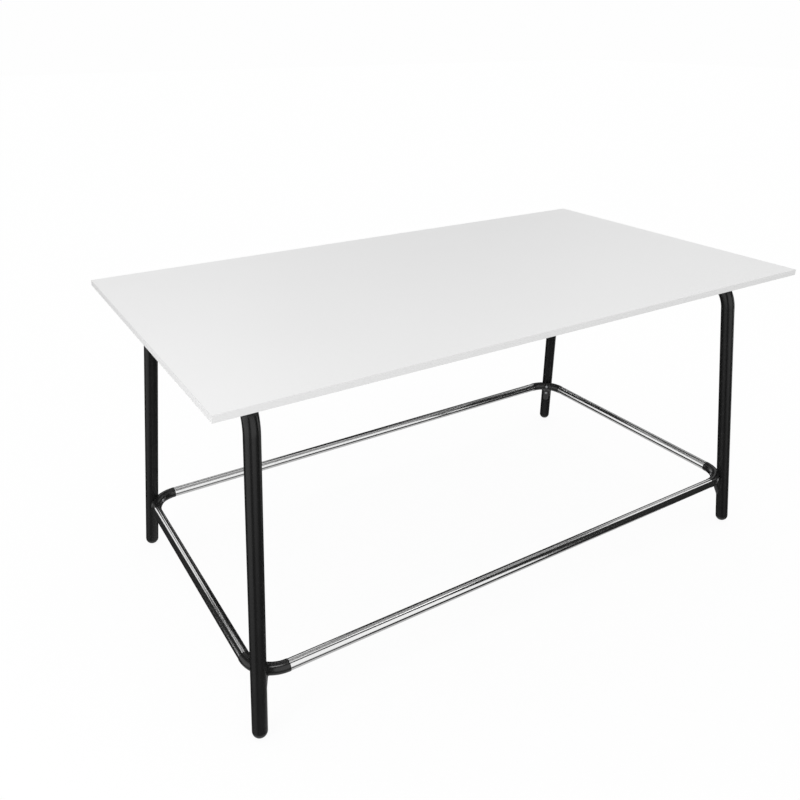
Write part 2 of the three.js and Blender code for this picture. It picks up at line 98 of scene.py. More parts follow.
# %% Wires and nodes
class Wire:
    """One value in a node tree. Sums on wires add Math nodes."""

    def __init__(self, nodes, socket):
        self.nodes = nodes
        self.socket = socket

    def __add__(self, other):
        return self.nodes.maths("ADD", self, other)

    def __radd__(self, other):
        return self.nodes.maths("ADD", other, self)

    def __sub__(self, other):
        return self.nodes.maths("SUBTRACT", self, other)

    def __rsub__(self, other):
        return self.nodes.maths("SUBTRACT", other, self)

    def __mul__(self, other):
        return self.nodes.maths("MULTIPLY", self, other)

    def __rmul__(self, other):
        return self.nodes.maths("MULTIPLY", other, self)


class Nodes:
    """The node tree of a material or of the world."""

    def __init__(self, tree):
        self.tree = tree

    def feed(self, socket, value):
        if isinstance(value, Wire):
            self.tree.links.new(value.socket, socket)
        else:
            socket.default_value = value

    def node(self, kind, settings, inputs, output=0):
        made = self.tree.nodes.new(kind)
        for name, value in settings.items():
            setattr(made, name, value)
        for name, value in inputs.items():
            self.feed(made.inputs[name], value)
        return Wire(self, made.outputs[output])

    def maths(self, operation, first, second):
        return self.node("ShaderNodeMath", {"operation": operation}, {0: first, 1: second})

    def light_path(self, question):
        return self.node("ShaderNodeLightPath", {}, {}, question)

    def show(self, shader):
        self.feed(self.tree.nodes["Material Output"].inputs["Surface"], shader)


class Finish(Nodes):
    """A surface finish: one material with a Principled shader, in each piece's own coordinates."""

    def __init__(self, name):
        self.material = bpy.data.materials.new(name)
        self.material.use_nodes = True
        super().__init__(self.material.node_tree)
        self.place = self.node("ShaderNodeTexCoord", {}, {}, "Object")

    def stretched(self, scale):
        return self.node("ShaderNodeMapping", {}, {"Vector": self.place, "Scale": scale})

    def noise(self, scale, detail=2.0, place=None):
        inputs = {"Vector": place or self.place, "Scale": scale, "Detail": detail}
        return self.node("ShaderNodeTexNoise", {}, inputs, "Fac")

    def flecks(self, scale):
        inputs = {"Vector": self.place, "Scale": scale}
        return self.node("ShaderNodeTexVoronoi", {"feature": "F1"}, inputs, "Distance")

    def mixed(self, share, first, second):
        inputs = {0: share, 6: (*first, 1), 7: (*second, 1)}
        return self.node("ShaderNodeMix", {"data_type": "RGBA"}, inputs, 2)

    def bump(self, height, depth):
        inputs = {"Height": height, "Distance": depth, "Strength": 1.0}
        return self.node("ShaderNodeBump", {}, inputs)

    def surface(self, **sockets):
        shader = self.tree.nodes["Principled BSDF"]
        for name, value in sockets.items():
            self.feed(shader.inputs[name.replace("_", " ")], value)
        print("finish", self.material.name, "has", len(self.tree.nodes), "nodes")
        return self.material


def grey(level):
    return (level, level, level)


# %% [markdown]
# ## Finishes
#
# The top is a white high-pressure laminate: satin, with a fine pearl grain pressed into it. Its
# edge band is an extruded plastic strip with faint draw lines along its length. Its white is set
# darker than the top's: partly the strip's own tint, partly painted shade for the upright edges.
# A balancing sheet below keeps the board from bowing; it is rougher and shows paper fibre. Its
# grey is partly its own colour and partly painted shade for the dim underside of the board. A
# flat white would look like paper too, so the grain goes into the bump and the roughness, and the
# colour drifts by about one part in a hundred.

# %% White laminate, edge band and balancing sheet
MILLIMETRE = 0.001

laminate = Finish("laminate_white")
pearl = laminate.noise(scale=1400, detail=3)
drift = laminate.noise(scale=2.2)
laminate_white = laminate.surface(
    Base_Color=laminate.mixed(drift, grey(0.835), grey(0.855)),
    Roughness=0.36 + 0.1 * pearl,
    Normal=laminate.bump(pearl, 0.01 * MILLIMETRE),
)

strip = Finish("band_white")
draw_lines = strip.noise(scale=1, detail=3, place=strip.stretched((4, 4, 2600)))
strip_drift = strip.noise(scale=5)
# Painted shade: this white is darker than the top's, partly the strip's own tint and partly the
# shade on the upright edges.
band_white = strip.surface(
    Base_Color=strip.mixed(strip_drift, grey(0.72), grey(0.74)),
    Roughness=0.36 + 0.14 * draw_lines,
    Normal=strip.bump(draw_lines, 0.02 * MILLIMETRE),
)

balance = Finish("balance_grey")
fibre = balance.noise(scale=900, detail=3)
cloud = balance.noise(scale=3)
# Painted shade: this grey is partly the sheet's own colour and partly the dim light under the
# board.
balance_grey = balance.surface(
    Base_Color=balance.mixed(cloud, grey(0.43), grey(0.47)),
    Roughness=0.55 + 0.15 * fibre,
    Normal=balance.bump(fibre, 0.02 * MILLIMETRE),
)

# %% [markdown]
# The frames are powder coated. The powder melts into a satin black skin with a slight orange peel,
# about a millimetre across, and a finer grain on top. The elbows and feet are moulded in a black
# plastic that is smoother and shinier, with a faint spark-eroded texture from the mould.

# %% Black coat and black plastic
coat = Finish("coat_black")
orange_peel = coat.noise(scale=820, detail=1)
grain = coat.noise(scale=3600, detail=2)
rubbed = coat.noise(scale=14, detail=4)
coat_black = coat.surface(
    Base_Color=coat.mixed(rubbed, grey(0.007), grey(0.010)),
    Roughness=0.19 + 0.08 * rubbed + 0.05 * grain,
    Normal=coat.bump(orange_peel + 0.2 * grain, 0.008 * MILLIMETRE),
)

plastic = Finish("moulded_black")
mould_texture = plastic.noise(scale=2400, detail=2)
flow = plastic.noise(scale=30, detail=3)
moulded_black = plastic.surface(
    Base_Color=plastic.mixed(flow, grey(0.012), grey(0.016)),
    Roughness=0.14 + 0.06 * flow + 0.03 * mould_texture,
    Normal=plastic.bump(mould_texture, 0.003 * MILLIMETRE),
)

# %% [markdown]
# The foot rail is chromed and polished. Chrome is a mirror, and what shows is the room, so the
# finish only needs a little blur that changes along the bar, where it was wiped and handled.
# Screws, bolts and end blocks are zinc plated: a duller metal with a mottled, slightly bluish skin.
# The board's core is chipboard, pressed from pale flakes; it is closed in on all sides.

# %% Chrome, zinc and chipboard
mirror = Finish("chrome")
wiped = mirror.noise(scale=9, detail=3)
polish_lines = mirror.noise(scale=5200, detail=2)
chrome = mirror.surface(
    Base_Color=mirror.mixed(wiped, grey(0.90), grey(0.94)),
    Metallic=1.0,
    Roughness=0.08 + 0.05 * wiped + 0.01 * polish_lines,
)

plating = Finish("zinc")
spangle = plating.flecks(scale=420)
tarnish = plating.noise(scale=160, detail=3)
zinc = plating.surface(
    Base_Color=plating.mixed(tarnish, (0.66, 0.67, 0.69), (0.80, 0.81, 0.82)),
    Metallic=1.0,
    Roughness=0.28 + 0.16 * spangle + 0.08 * tarnish,
    Normal=plating.bump(tarnish, 0.02 * MILLIMETRE),
)

chips = Finish("board_core")
flakes = chips.flecks(scale=260)
chip_tone = chips.noise(scale=700, detail=3)
board_core = chips.surface(
    Base_Color=chips.mixed(chip_tone, (0.42, 0.29, 0.16), (0.62, 0.47, 0.29)),
    Roughness=0.8 + 0.12 * flakes,
    Normal=chips.bump(flakes, 0.2 * MILLIMETRE),
)

# %% [markdown]
# ## Modelling by hand, in code
#
# Every operator works on what is selected, and the solids arrive selected. So each step first
# clears the selection, takes one piece, and picks its faces or edges by where they are or which way
# they look.

# %% Taking a piece and picking parts of it
def clear_selection():
    if bpy.context.mode != "OBJECT":
        bpy.ops.object.mode_set(mode="OBJECT")
    bpy.ops.object.select_all(action="DESELECT")


def take(piece):
    """Make one piece the only selected one, and the active one."""
    clear_selection()
    piece.select_set(True)
    bpy.context.view_layer.objects.active = piece


FINISHED = "_finished"


def started(node):
    """Name what was just added after its solid, which keeps its own name, and put its place and
    turn into its mesh."""
    piece = bpy.context.object
    piece.name = node + FINISHED
    piece.data.name = piece.name
    bpy.ops.object.transform_apply(location=True, rotation=True, scale=True)
    return piece


@contextmanager
def editing(piece):
    take(piece)
    bpy.ops.object.mode_set(mode="EDIT")
    bpy.ops.mesh.select_all(action="SELECT")
    yield
    bpy.ops.object.mode_set(mode="OBJECT")


def pick(kind, wanted):
    """In edit mode, select only the faces or the edges that pass a test."""
    bpy.ops.mesh.select_mode(type={"faces": "FACE", "edges": "EDGE"}[kind])
    bpy.ops.mesh.select_all(action="DESELECT")
    mesh = bpy.context.object.data
    shape = bmesh.from_edit_mesh(mesh)
    for part in [part for part in getattr(shape, kind) if wanted(part)]:
        part.select_set(True)
    shape.select_flush_mode()
    bmesh.update_edit_mesh(mesh)


NEAR = 1e-6
CUT_NEAR = 1e-7
SAME_WAY = 0.99

right = Vector((1, 0, 0))
back = Vector((0, 1, 0))
up = Vector((0, 0, 1))


def level_with(point, heading):
    """A test for faces and edges whose corners all lie as far along a heading as a point does."""
    return lambda part: all(abs((vert.co - point).dot(heading)) < NEAR for vert in part.verts)


def runs_along(heading):
    """A test for edges that run along a heading, and not across it."""
    return lambda edge: abs((edge.verts[0].co - edge.verts[1].co).dot(heading)) > NEAR


def extrude(step):
    bpy.ops.mesh.extrude_region_move(TRANSFORM_OT_translate={"value": step})


def slice_off(point, heading):
    """Cut the mesh flat through a point, throw away what lies towards the heading and close the
    cut. Bisect would take points a tenth of a millimetre away as cut already, so it is told to be
    finer."""
    bpy.ops.mesh.select_all(action="SELECT")
    bpy.ops.mesh.bisect(
        plane_co=point, plane_no=heading, clear_outer=True, use_fill=True, threshold=CUT_NEAR)


def tidy_mesh():
    """Merge points that lie on each other and turn every face outwards."""
    bpy.ops.mesh.select_all(action="SELECT")
    bpy.ops.mesh.remove_doubles(threshold=NEAR)
    bpy.ops.mesh.normals_make_consistent(inside=False)


# %% Modifiers, copies and handing over
def apply_modifier(piece, kind, **settings):
    take(piece)
    bpy.ops.object.modifier_add(type=kind)
    modifier = piece.modifiers[-1]
    for name, value in settings.items():
        setattr(modifier, name, value)
    bpy.ops.object.modifier_apply(modifier=modifier.name)


def cut(piece, cutter):
    """Cut one solid out of another, and throw the cutter away."""
    apply_modifier(piece, "BOOLEAN", operation="DIFFERENCE", solver="EXACT", object=cutter)
    bpy.data.objects.remove(cutter)


def copy_of(piece, name, move):
    """A copy with its own mesh, moved and turned by a matrix."""
    take(piece)
    bpy.ops.object.duplicate()
    copy = bpy.context.object
    copy.matrix_world = move @ copy.matrix_world
    return started(name)


def facing(direction):
    """The turn that points a primitive's Z axis along a direction."""
    return Vector(direction).to_track_quat("Z", "Y").to_euler()


CREASE = 40
FINE_CREASE = 30


def smooth(piece, degrees=CREASE):
    """Shade smoothly across edges that turn less than an angle. Large faces keep their own normals,
    so that a small rounding does not bend the light on a long bar or a flat board."""
    take(piece)
    bpy.ops.object.shade_smooth_by_angle(angle=math.radians(degrees))
    apply_modifier(piece, "WEIGHTED_NORMAL", keep_sharp=True)


def refinish(node, finish):
    """Give a finish to a solid that stays as it is."""
    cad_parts[node].material_slots[0].material = finish


def hand_over(piece, finish):
    """A finished piece takes its finish, and stands for the solid of the same name."""
    piece.data.materials.clear()
    piece.data.materials.append(finish)
    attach(piece, "root")
    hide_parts(piece.name.removesuffix(FINISHED))


# %% [markdown]
# ## End frames
#
# Each end of the table stands on one tube, bent twice: up a leg, across under the board, and down
# the other leg. The legs lean in by six degrees along both sides. It could be a curve with a round
# bevel, but a bender makes it from a straight run, a bend and a straight run, and so can we: a ring
# is extruded along each straight and spun round each bend. Solidify then gives the skin its wall.

# %% Leg sizes
FIT = 0.3 * MILLIMETRE
LEG_RADIUS = 19.5 * MILLIMETRE
LEG_WALL = 2 * MILLIMETRE
LEG_LEAN = math.tan(math.radians(6))
FRAME_BEND_RADIUS = 100 * MILLIMETRE
FLAT_RADIUS = 6 * MILLIMETRE
TUBE_SIDES = 64
BEND_STEPS = 20

FOOT_INSET_END = 37 * MILLIMETRE
FOOT_INSET_SIDE = 39 * MILLIMETRE
SADDLE_CROWN = 6 * MILLIMETRE

leg_up = Vector((LEG_LEAN, LEG_LEAN, 1)).normalized()
foot = Vector((solid_low.x + FOOT_INSET_END, solid_low.y + FOOT_INSET_SIDE, 0))
dome_height = math.sqrt(LEG_RADIUS**2 - FLAT_RADIUS**2)
dome_centre = foot + leg_up * (dome_height / leg_up.z)
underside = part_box("tabletop_backing")[0].z
crossbar_height = underside - SADDLE_CROWN - FIT - LEG_RADIUS
leg_top = foot + leg_up * (crossbar_height / leg_up.z)
print("front left leg stands at", foot, "and meets the crossbar at", leg_top)

# %% Bend one end frame
leg_down = Vector((-leg_up.x, leg_up.y, -leg_up.z))


def bend(centre, into, out, steps):
    """Spin the selected ring from one heading to another. Spin turns left-handed."""
    axis = out.cross(into).normalized()
    bpy.ops.mesh.spin(steps=steps, angle=into.angle(out), center=centre, axis=axis)


bend_run = FRAME_BEND_RADIUS * math.tan(leg_up.angle(back) / 2)
tube_end = dome_centre + leg_up * FIT
bend_start = leg_top - leg_up * bend_run
inward = (back - leg_up * back.dot(leg_up)).normalized()
front_bend = bend_start + inward * FRAME_BEND_RADIUS
back_bend = Vector((front_bend.x, -front_bend.y, front_bend.z))
crossbar_end = leg_top.y + bend_run

clear_selection()
bpy.ops.mesh.primitive_circle_add(
    vertices=TUBE_SIDES, radius=LEG_RADIUS, location=tube_end, rotation=facing(leg_up))
leg_frame_left = started("leg_frame_left")
with editing(leg_frame_left):
    extrude(bend_start - tube_end)
    bend(front_bend, leg_up, back, BEND_STEPS)
    extrude(back * (-2 * crossbar_end))
    bend(back_bend, back, leg_down, BEND_STEPS)
    extrude(leg_down * (bend_start - tube_end).length)
    tidy_mesh()
apply_modifier(leg_frame_left, "SOLIDIFY", thickness=LEG_WALL, offset=-1)
smooth(leg_frame_left)

half_turn = Matrix.Rotation(math.pi, 4, "Z")
leg_frame_right = copy_of(leg_frame_left, "leg_frame_right", half_turn)
for end_frame in (leg_frame_left, leg_frame_right):
    hand_over(end_frame, coat_black)
print("end frame:", len(leg_frame_left.data.polygons), "faces, crossbar at", crossbar_height)

# %% [markdown]
# ## Feet
#
# A domed plastic glide closes each leg. The dome is as wide as the tube, so leg and foot read as
# one rounded end, and a small flat is worn where it stands. It starts as a ball, because a ball cut
# twice gives both the rim that meets the tube and the flat on the floor. The rim face is then inset
# and extruded up into the spigot that holds the glide in the tube.

# %% Model one foot
SPIGOT_LENGTH = 25 * MILLIMETRE
RIM_ROUNDING = 0.3 * MILLIMETRE
RIM_STEPS = 2
BALL_RINGS = 48
spigot_radius = LEG_RADIUS - LEG_WALL - FIT

at_rim = level_with(dome_centre, leg_up)


def on_tube_edge(edge):
    """The rim's outer edge, where the dome meets the tube."""
    return at_rim(edge) and all(
        (vert.co - dome_centre).length > (spigot_radius + LEG_RADIUS) / 2 for vert in edge.verts)


clear_selection()
bpy.ops.mesh.primitive_uv_sphere_add(
    segments=TUBE_SIDES, ring_count=BALL_RINGS, radius=LEG_RADIUS, location=dome_centre,
    rotation=facing(leg_up))
first_foot = started("glide_front_left")
with editing(first_foot):
    slice_off(dome_centre, leg_up)
    slice_off((0, 0, 0), -up)
    tidy_mesh()
    pick("faces", lambda face: face.normal.dot(leg_up) > SAME_WAY)
    bpy.ops.mesh.inset(thickness=LEG_RADIUS - spigot_radius)
    extrude(leg_up * SPIGOT_LENGTH)
    pick("edges", on_tube_edge)
    bpy.ops.mesh.bevel(offset=RIM_ROUNDING, segments=RIM_STEPS)
    tidy_mesh()
smooth(first_foot)
foot_bottom = min(vert.co.z for vert in first_foot.data.vertices)
print("foot", tuple(first_foot.dimensions), "stands at", foot_bottom)

# %% Copy the foot to the other corners
# Name and side along X and Y, in the order of quarter turns.
CORNERS = [
    ("front_left", -1, -1),
    ("front_right", 1, -1),
    ("back_right", 1, 1),
    ("back_left", -1, 1),
]


def to_corner(point, turns):
    """The move from the front left corner to the next ones, by quarter turns. A point of the front
    left corner lands on its mirror image."""
    side_x, side_y = CORNERS[turns][1:]
    there = Vector((-side_x * point.x, -side_y * point.y, 0))
    turn = Matrix.Rotation(turns * math.pi / 2, 4, "Z")
    return Matrix.Translation(there) @ turn @ Matrix.Translation((-point.x, -point.y, 0))


def at_all_corners(piece, stem, point, finish):
    """Copy a front left piece to the other three corners and hand all four over."""
    for turns in (1, 2, 3):
        name = f"{stem}_{CORNERS[turns][0]}"
        hand_over(copy_of(piece, name, to_corner(point, turns)), finish)
    hand_over(piece, finish)
    print(f"four of {stem}, {len(piece.data.polygons)} faces each")


at_all_corners(first_foot, "glide", foot, moulded_black)

# %% [markdown]
# ## Elbows
#
# At each corner a moulded elbow joins two bars and hugs the inner side of the leg. It is a round
# bend with a round tail that slants down into the leg, and the two flow into each other as only a
# moulding can. Joining two tubes with a Boolean leaves a hard crease. A voxel remesh makes one skin
# over both, and smoothing it turns the crease into a fillet. Smoothing also shrinks the skin a
# little, so it is pushed back out along its normals by the amount that was lost.

# %% Elbow sizes
ELBOW_RADIUS = 15.7 * MILLIMETRE
ELBOW_BEND_RADIUS = 80 * MILLIMETRE
ELBOW_ARM = 81 * MILLIMETRE
ARM_SPARE = 18 * MILLIMETRE
TAIL_RADIUS = 14.75 * MILLIMETRE
TAIL_LEAN = math.radians(15.6)
VOXEL = 1.1 * MILLIMETRE
SMOOTH_STEPS = 140
SMOOTH_SHARE = 0.5

rail_low, rail_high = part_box("foot_rail_front")
rail_radius = (rail_high.z - rail_low.z) / 2
rail_height = (rail_high.z + rail_low.z) / 2
rail_corner = Vector((rail_low.x - ELBOW_ARM - FIT, (rail_low.y + rail_high.y) / 2, rail_height))
leg_at_rail = foot + leg_up * (rail_height / leg_up.z)
leg_side = Vector((-1, 1, 0)).normalized()
leg_out = leg_side.cross(leg_up)
bend_axis = rail_corner + (right + back) * ELBOW_BEND_RADIUS
bend_middle = rail_corner + (right + back) * (ELBOW_BEND_RADIUS * (1 - math.sqrt(0.5)))
tail_heading = (-leg_up * math.cos(TAIL_LEAN) - leg_out * math.sin(TAIL_LEAN)).normalized()
tail_length = (bend_middle - leg_at_rail).dot(leg_out) / math.sin(TAIL_LEAN)
print("rails cross at", rail_corner, "tail", tail_length, "m long")

# %% One skin over the bend and the tail
clear_selection()
bpy.ops.mesh.primitive_circle_add(
    vertices=TUBE_SIDES, radius=ELBOW_RADIUS, rotation=facing(right),
    location=rail_corner + right * (ELBOW_ARM + ARM_SPARE))
first_elbow = started("elbow_front_left")
with editing(first_elbow):
    straight = ELBOW_ARM + ARM_SPARE - ELBOW_BEND_RADIUS
    extrude(-right * straight)
    bend(bend_axis, -right, back, BEND_STEPS)
    extrude(back * straight)
    bpy.ops.mesh.select_all(action="SELECT")
    bpy.ops.mesh.fill_holes(sides=0)
    bpy.ops.mesh.primitive_cylinder_add(
        vertices=TUBE_SIDES, radius=TAIL_RADIUS, depth=tail_length, rotation=facing(tail_heading),
        location=bend_middle + tail_heading * (tail_length / 2))
    bpy.ops.mesh.select_all(action="SELECT")
    bpy.ops.mesh.normals_make_consistent(inside=False)


def skin_radius():
    """How far the skin stands above the middle line of an arm, at the arm's end."""
    from_end = [vert.co - rail_corner - right * ELBOW_ARM for vert in first_elbow.data.vertices]
    return max(step.z for step in from_end
               if abs(step.x) < 2 * VOXEL and abs(step.y) < 4 * VOXEL)


apply_modifier(first_elbow, "REMESH", mode="VOXEL", voxel_size=VOXEL)
apply_modifier(first_elbow, "SMOOTH", factor=SMOOTH_SHARE, iterations=SMOOTH_STEPS)
lost = ELBOW_RADIUS - skin_radius()
apply_modifier(first_elbow, "DISPLACE", strength=lost, mid_level=0)
print(f"smoothing lost {lost / MILLIMETRE:.2f} mm, radius now {skin_radius() / MILLIMETRE:.2f} mm")

# %% [markdown]
# The arms were left too long, because the remesh rounds their ends. Two bisect cuts make them flat
# and square, and each flat is inset and extruded into the spigot inside the bar. The leg's own
# round, and a flat seat for each screw head, are cut out last, so that their edges stay crisp.

# %% Arm ends and spigots
ELBOW_SPIGOT = 30 * MILLIMETRE
ARM_RIM = 0.5 * MILLIMETRE
RAIL_WALL = 1.5 * MILLIMETRE
spigot_step = ELBOW_RADIUS - ARM_RIM - rail_radius + RAIL_WALL + FIT

with editing(first_elbow):
    for heading in (right, back):
        arm_end = rail_corner + heading * ELBOW_ARM
        slice_off(arm_end, heading)
        pick("edges", level_with(arm_end, heading))
        bpy.ops.mesh.bevel(offset=ARM_RIM, segments=RIM_STEPS)
        pick("faces", level_with(arm_end, heading))
        bpy.ops.mesh.inset(thickness=spigot_step)
        extrude(heading * ELBOW_SPIGOT)
print("spigots", ELBOW_SPIGOT, "m long, one step of", spigot_step, "m inside the arms")

# %% Saddle and screw seats
SEAT_DEPTH = 3 * MILLIMETRE
SCREW_HEAD_RADIUS = 5.5 * MILLIMETRE
SCREW_RISE = 4 * MILLIMETRE
SCREW_SPACING = 35 * MILLIMETRE
SADDLE_REACH = 200 * MILLIMETRE
ELBOW_CREASE = 35


def rod(radius, start, end):
    """A round cutter from one point to another."""
    clear_selection()
    bpy.ops.mesh.primitive_cylinder_add(
        vertices=TUBE_SIDES, radius=radius, depth=(end - start).length,
        rotation=facing(end - start), location=(start + end) / 2)
    return started("cutter")


out_at_bend = (bend_middle - leg_at_rail).dot(leg_out)
up_at_bend = (bend_middle - leg_at_rail).dot(leg_up)
upper_rise = up_at_bend + SCREW_RISE
lower_rise = upper_rise - SCREW_SPACING
upper_out = out_at_bend + ELBOW_RADIUS - SEAT_DEPTH
tail_skin = TAIL_RADIUS / math.cos(TAIL_LEAN) - (SCREW_SPACING - SCREW_RISE) * math.tan(TAIL_LEAN)
lower_out = out_at_bend + tail_skin - SEAT_DEPTH
upper_seat = leg_at_rail + leg_up * upper_rise + leg_out * upper_out
lower_seat = leg_at_rail + leg_up * lower_rise + leg_out * lower_out

reach = leg_up * SADDLE_REACH
cut(first_elbow, rod(LEG_RADIUS + FIT, leg_at_rail - reach, leg_at_rail + reach))
for seat in (upper_seat, lower_seat):
    cut(first_elbow, rod(SCREW_HEAD_RADIUS + FIT, seat, seat + leg_out * ELBOW_RADIUS))
smooth(first_elbow, ELBOW_CREASE)
at_all_corners(first_elbow, "elbow", rail_corner, moulded_black)

# %% [markdown]
# ## Screws and bolts
#
# All of them are turned pieces: a round head on a round shank, with a socket for the key. A ring
# that is extruded and resized step by step draws such a profile, as a lathe would. A six-sided
# cutter then sinks the socket. Each is made standing at the origin and then copied to its place.

# %% Turning a fastener
SCREW_SIDES = 40


def turned(name, outline):
    """Turn a closed solid on the Z axis, from its outline as (radius, height) pairs from tip to
    head."""
    (radius, height), *rest = outline
    clear_selection()
    bpy.ops.mesh.primitive_circle_add(
        vertices=SCREW_SIDES, radius=radius, location=(0, 0, height), fill_type="NGON")
    piece = started(name)
    with editing(piece):
        for next_radius, next_height in rest:
            extrude((0, 0, next_height - height))
            share = next_radius / radius
            bpy.ops.transform.resize(value=(share, share, 1), center_override=(0, 0, next_height))
            radius, height = next_radius, next_height
        tidy_mesh()
    return piece


# A head's outline from its underside to its top, as shares of its radius and its height.
CROWN = [(0.96, 0), (1, 0.1), (1, 0.35), (0.93, 0.66), (0.78, 0.9), (0.58, 1)]
SOCKET_DEPTH = 0.6
KEY_SIDES = 6
CHAMFER = 0.3
POINTED_END = 0.3
BLUNT_END = 0.8


def fastener(name, shank_radius, length, point, head_radius, head_height, key_radius):
    """A screw with its head up and the head's underside at zero. A wood screw narrows to a point,
    and a machine screw, with a point of no length, has only a chamfer."""
    end_share = POINTED_END if point else BLUNT_END
    taper = point or CHAMFER * shank_radius
    shank = [(end_share * shank_radius, -length), (shank_radius, taper - length), (shank_radius, 0)]
    piece = turned(name, shank + [(head_radius * wide, head_height * high) for wide, high in CROWN])
    clear_selection()
    bpy.ops.mesh.primitive_cylinder_add(
        vertices=KEY_SIDES, radius=key_radius, depth=2 * SOCKET_DEPTH * head_height,
        location=(0, 0, head_height))
    cut(piece, started("key"))
    smooth(piece, FINE_CREASE)
    return piece


def stand(point, heading):
    """The move that stands a piece from the origin at a point, its Z axis along a heading."""
    return Matrix.Translation(point) @ facing(heading).to_matrix().to_4x4()


# %% Elbow screws
SCREW_RADIUS = 3 * MILLIMETRE
SCREW_REACH = 8 * MILLIMETRE
SCREW_HEAD_HEIGHT = 3.3 * MILLIMETRE
SCREW_KEY = 2.3 * MILLIMETRE

screw_end = LEG_RADIUS - SCREW_REACH
for level, seat, out in (("upper", upper_seat, upper_out), ("lower", lower_seat, lower_out)):
    made = fastener("elbow_screw", SCREW_RADIUS, out - screw_end, 0, SCREW_HEAD_RADIUS,
                    SCREW_HEAD_HEIGHT, SCREW_KEY)
    screw = copy_of(made, f"elbow_screw_{level}_front_left", stand(seat + leg_out * FIT, leg_out))
    bpy.data.objects.remove(made)
    at_all_corners(screw, f"elbow_screw_{level}", rail_corner, zinc)

# %% Wood screws and rail bolts
WOOD_SCREW_RADIUS = 2.5 * MILLIMETRE
WOOD_SCREW_POINT = 4 * MILLIMETRE
WOOD_HEAD_RADIUS = 4.5 * MILLIMETRE
WOOD_HEAD_HEIGHT = 3 * MILLIMETRE
WOOD_SCREW_KEY = 2 * MILLIMETRE
BOLT_RADIUS = 4 * MILLIMETRE
BOLT_HEAD_RADIUS = 6.5 * MILLIMETRE
BOLT_HEAD_HEIGHT = 5 * MILLIMETRE
BOLT_KEY = 3.4 * MILLIMETRE


def nodes_named(stem):
    return sorted(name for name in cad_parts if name.startswith(stem))


def place_fasteners(stem, make, head_height, heading_at):
    """Make a fastener for every solid of a kind, as long as its solid, with its head where the
    solid has it."""
    for name in nodes_named(stem):
        low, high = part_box(name)
        centre = (low + high) / 2
        heading = heading_at(centre)
        length = max(high - low) - head_height
        made = make(length)
        seat = centre + heading * ((length - head_height) / 2)
        hand_over(copy_of(made, name, stand(seat, heading)), zinc)
        bpy.data.objects.remove(made)
    print(len(nodes_named(stem)), "of", stem)


def towards_floor(centre):
    return -up


def towards_end(centre):
    """Out of the nearer end of the table."""
    return right if centre.x > 0 else -right


def wood_screw(length):
    return fastener("wood_screw", WOOD_SCREW_RADIUS, length, WOOD_SCREW_POINT, WOOD_HEAD_RADIUS,
                    WOOD_HEAD_HEIGHT, WOOD_SCREW_KEY)


def rail_bolt(length):
    return fastener("bolt", BOLT_RADIUS, length, 0, BOLT_HEAD_RADIUS, BOLT_HEAD_HEIGHT, BOLT_KEY)


place_fasteners("saddle_screw", wood_screw, WOOD_HEAD_HEIGHT, towards_floor)
place_fasteners("stiffener_screw", wood_screw, WOOD_HEAD_HEIGHT, towards_floor)
place_fasteners("rail_bolt", rail_bolt, BOLT_HEAD_HEIGHT, towards_end)

# %% [markdown]
# ## Foot rail
#
# Four polished tubes run from elbow to elbow. An open cylinder is the skin of one, Solidify gives
# it a wall that shows at the ends, and a small bevel takes the saw's sharp edge off the rim, where
# it catches a thin line of light next to the elbow.

# %% Polish the bars
RAIL_RIM = 0.4 * MILLIMETRE

for side in ("front", "back", "left", "right"):
    name = f"foot_rail_{side}"
    low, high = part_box(name)
    along = right if side in ("front", "back") else back
    clear_selection()
    bpy.ops.mesh.primitive_cylinder_add(
        vertices=TUBE_SIDES, radius=rail_radius, depth=(high - low).dot(along),
        end_fill_type="NOTHING", location=(low + high) / 2, rotation=facing(along))
    bar = started(name)
    apply_modifier(bar, "SOLIDIFY", thickness=RAIL_WALL, offset=-1)
    with editing(bar):
        at_start, at_end = level_with(low, along), level_with(high, along)
        pick("edges", lambda edge: at_start(edge) or at_end(edge))
        bpy.ops.mesh.bevel(offset=RAIL_RIM, segments=RIM_STEPS)
    smooth(bar)
    hand_over(bar, chrome)
    print(name, (high - low).dot(along), "m")

# %% [markdown]
# ## Board
#
# The top is a board with a thin laminate above and below and a plastic band round its edge. The
# sheets are plain, so their edges do the work: the band's outer corners are scraped to a small
# round, which draws a fine light line round the board, and the laminate stops against the band with
# a hair-thin joint.

# %% Laminate and edge bands
BAND_ROUNDING = 0.9 * MILLIMETRE
CORNER_STEPS = 4
JOINT_ROUNDING = 0.12 * MILLIMETRE


def block(name):
    """A box in the place of a solid."""
    low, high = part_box(name)
    clear_selection()
    bpy.ops.mesh.primitive_cube_add(size=1, location=(low + high) / 2, scale=high - low)
    return started(name)


sheet = block("tabletop_laminate")
with editing(sheet):
    pick("edges", level_with(solid_high, up))
    bpy.ops.mesh.bevel(offset=JOINT_ROUNDING, segments=RIM_STEPS)
smooth(sheet)
hand_over(sheet, laminate_white)

outward = {"front": -back, "back": back, "left": -right, "right": right}
for side, heading in outward.items():
    band = block(f"edge_band_{side}")
    low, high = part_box(f"edge_band_{side}")
    outer = max(low, high, key=heading.dot)
    with editing(band):
        pick("edges", level_with(outer, heading))
        bpy.ops.mesh.bevel(offset=BAND_ROUNDING, segments=CORNER_STEPS)
    smooth(band)
    hand_over(band, band_white)
print("laminate", tuple(sheet.dimensions), "and four bands")

refinish("tabletop_core", board_core)
refinish("tabletop_backing", balance_grey)

# %% [markdown]
# ## Under the board
#
# Saddle plates seat each crossbar against the board, and two rectangular tubes stiffen the span
# between the ends. They are seen only from below, but they carry the board. A plate is a block with
# rounded corners and a groove for the tube. A stiffener is a block with its ends opened, its long
# edges rounded and its skin made solid, coped round the crossbars and drilled for the screwdriver.

# %% Saddle plates
PLATE_CORNER = 6 * MILLIMETRE
PLATE_CORNER_STEPS = 6
PLATE_EDGE = 0.8 * MILLIMETRE
CUT_SPARE = 20 * MILLIMETRE


